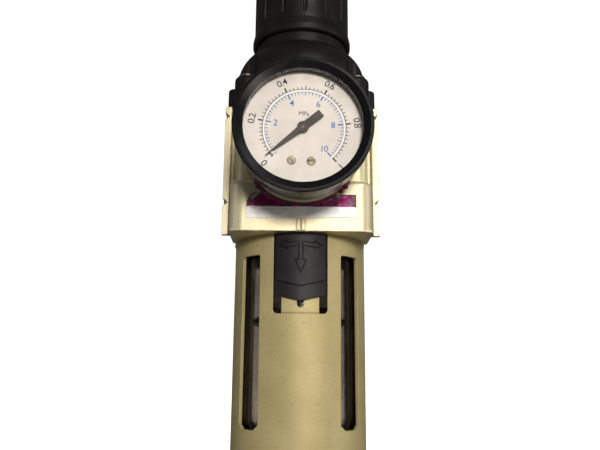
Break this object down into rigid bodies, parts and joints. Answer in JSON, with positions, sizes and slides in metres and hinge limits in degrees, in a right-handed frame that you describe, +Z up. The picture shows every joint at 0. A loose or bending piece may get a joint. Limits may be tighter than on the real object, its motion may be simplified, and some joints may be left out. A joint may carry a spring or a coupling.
{
  "type": "air filter regulator",
  "caption": "Modular compressed-air filter regulator with ribbed adjusting knob, front pressure gauge, ported body and guarded clear bowl with drain",
  "frame": {"origin": "where the port axis crosses the body axis", "axes": "+Z up the body axis towards the knob, -Y out of the gauge face, +X out of the outlet port"},
  "size_m": [0.07, 0.1035, 0.262],
  "materials": {
    "champagne_paint": "satin metallic champagne paint",
    "champagne_casting": "satin metallic champagne paint over die-cast aluminium",
    "black_nylon": "satin moulded black nylon",
    "screw_steel": "passivated steel",
    "nitrile": "matt nitrile rubber",
    "plate_aluminium": "plain aluminium",
    "spring_steel": "spring wire",
    "brass": "machined brass",
    "white_acetal": "moulded acetal",
    "filter_media": "sintered porous plastic",
    "clear_polycarbonate": "clear moulded polycarbonate",
    "gauge_black": "gloss black enamel",
    "gauge_lens": "clear flat window",
    "dial_white": "printed white dial",
    "pointer_paint": "matt dark paint",
    "label_film": "printed label film"
  },
  "bodies": {
    "root": {"body": "champagne_casting", "bonnet": "black_nylon", "bonnet_screws": "screw_steel", "thrust_washer": "white_acetal", "adjusting_spring": "spring_steel", "valve_spring": "spring_steel", "valve_guide": "white_acetal", "valve_guide_oring": "nitrile", "rear_port_plug": "screw_steel", "deflector": "white_acetal", "filter_element": "filter_media", "baffle": "black_nylon", "centre_rod": "brass", "gauge_socket": "brass", "gauge_case": "gauge_black", "gauge_bezel": "gauge_black", "gauge_lens": "gauge_lens", "gauge_dial": "dial_white", "dial_screws": "screw_steel", "stop_pin": "screw_steel", "movement_plates": "brass", "hairspring": "spring_steel", "bourdon_tube": "brass", "front_label": "label_film"},
    "adjuster": {"adjusting_screw": "screw_steel"},
    "knob_unit": {"knob": "black_nylon", "knob_cap": "black_nylon"},
    "spring_seat": {"adjusting_nut": "brass"},
    "valve": {"valve_stem": "brass", "valve_poppet": "nitrile", "diaphragm": "nitrile", "diaphragm_plate": "plate_aluminium", "diaphragm_washer": "plate_aluminium"},
    "needle": {"pointer": "pointer_paint", "pointer_pinion": "brass"},
    "sector": {"sector_gear": "brass"},
    "link": {"gauge_link": "brass"},
    "bowl_unit": {"bowl": "clear_polycarbonate", "bowl_oring": "nitrile", "bowl_guard": "champagne_paint", "drain_guide": "white_acetal", "drain_seal": "nitrile", "drain_nut": "white_acetal", "lock_spring": "spring_steel"},
    "lock": {"lock_button": "black_nylon"},
    "cock": {"drain_cock": "black_nylon"},
    "drain_pin": {"drain_valve": "white_acetal"}
  },
  "joints": [
    {"name": "knob_turn", "type": "hinge", "parent": "root", "child": "adjuster", "pos_m": [0, 0, 0.088], "axis": [0, 0, -1], "range_deg": [0, 2160]},
    {"name": "spring_seat_travel", "type": "slide", "parent": "root", "child": "spring_seat", "axis": [0, 0, -1], "range_m": [0, 0.00905], "deforming": ["adjusting_spring"]},
    {"name": "knob_lock", "type": "slide", "parent": "adjuster", "child": "knob_unit", "axis": [0, 0, 1], "range_m": [-0.0035, 0]},
    {"name": "valve_travel", "type": "slide", "parent": "root", "child": "valve", "axis": [0, 0, -1], "range_m": [0, 0.0012], "stiffness_N_per_m": 1500, "springref_m": -0.002, "deforming": ["valve_spring"]},
    {"name": "pointer_turn", "type": "hinge", "parent": "root", "child": "needle", "pos_m": [0, -0.0556, 0], "axis": [0, 1, 0], "range_deg": [0, 270], "stiffness_Nm_per_rad": 0.0002},
    {"name": "sector_turn", "type": "hinge", "parent": "root", "child": "sector", "pos_m": [-0.00048, -0.0556, -0.01379], "axis": [0, 1, 0], "range_deg": [-41, 0]},
    {"name": "link_turn", "type": "hinge", "parent": "sector", "child": "link", "pos_m": [-0.00165, -0.0556, -0.01655], "axis": [0, 1, 0], "range_deg": [0, 41]},
    {"name": "bowl_turn", "type": "hinge", "parent": "root", "child": "bowl_unit", "pos_m": [0, 0, -0.033], "axis": [0, 0, 1], "range_deg": [0, 45]},
    {"name": "lock_press", "type": "slide", "parent": "bowl_unit", "child": "lock", "axis": [0, 0, -1], "range_m": [0, 0.0042], "stiffness_N_per_m": 300, "springref_m": -0.003, "deforming": ["lock_spring"]},
    {"name": "drain_turn", "type": "hinge", "parent": "bowl_unit", "child": "cock", "pos_m": [0, 0, -0.147], "axis": [0, 0, 1], "range_deg": [0, 90]},
    {"name": "drain_lift", "type": "slide", "parent": "bowl_unit", "child": "drain_pin", "axis": [0, 0, 1], "range_m": [0, 0.00121]}
  ],
  "couplings": [
    {"joint": "spring_seat_travel", "follows": "knob_turn", "m_per_rad": 0.00023873},
    {"joint": "sector_turn", "follows": "pointer_turn", "ratio": -0.15},
    {"joint": "link_turn", "follows": "pointer_turn", "ratio": 0.15},
    {"joint": "drain_lift", "follows": "drain_turn", "m_per_rad": 0.00076394}
  ]
}
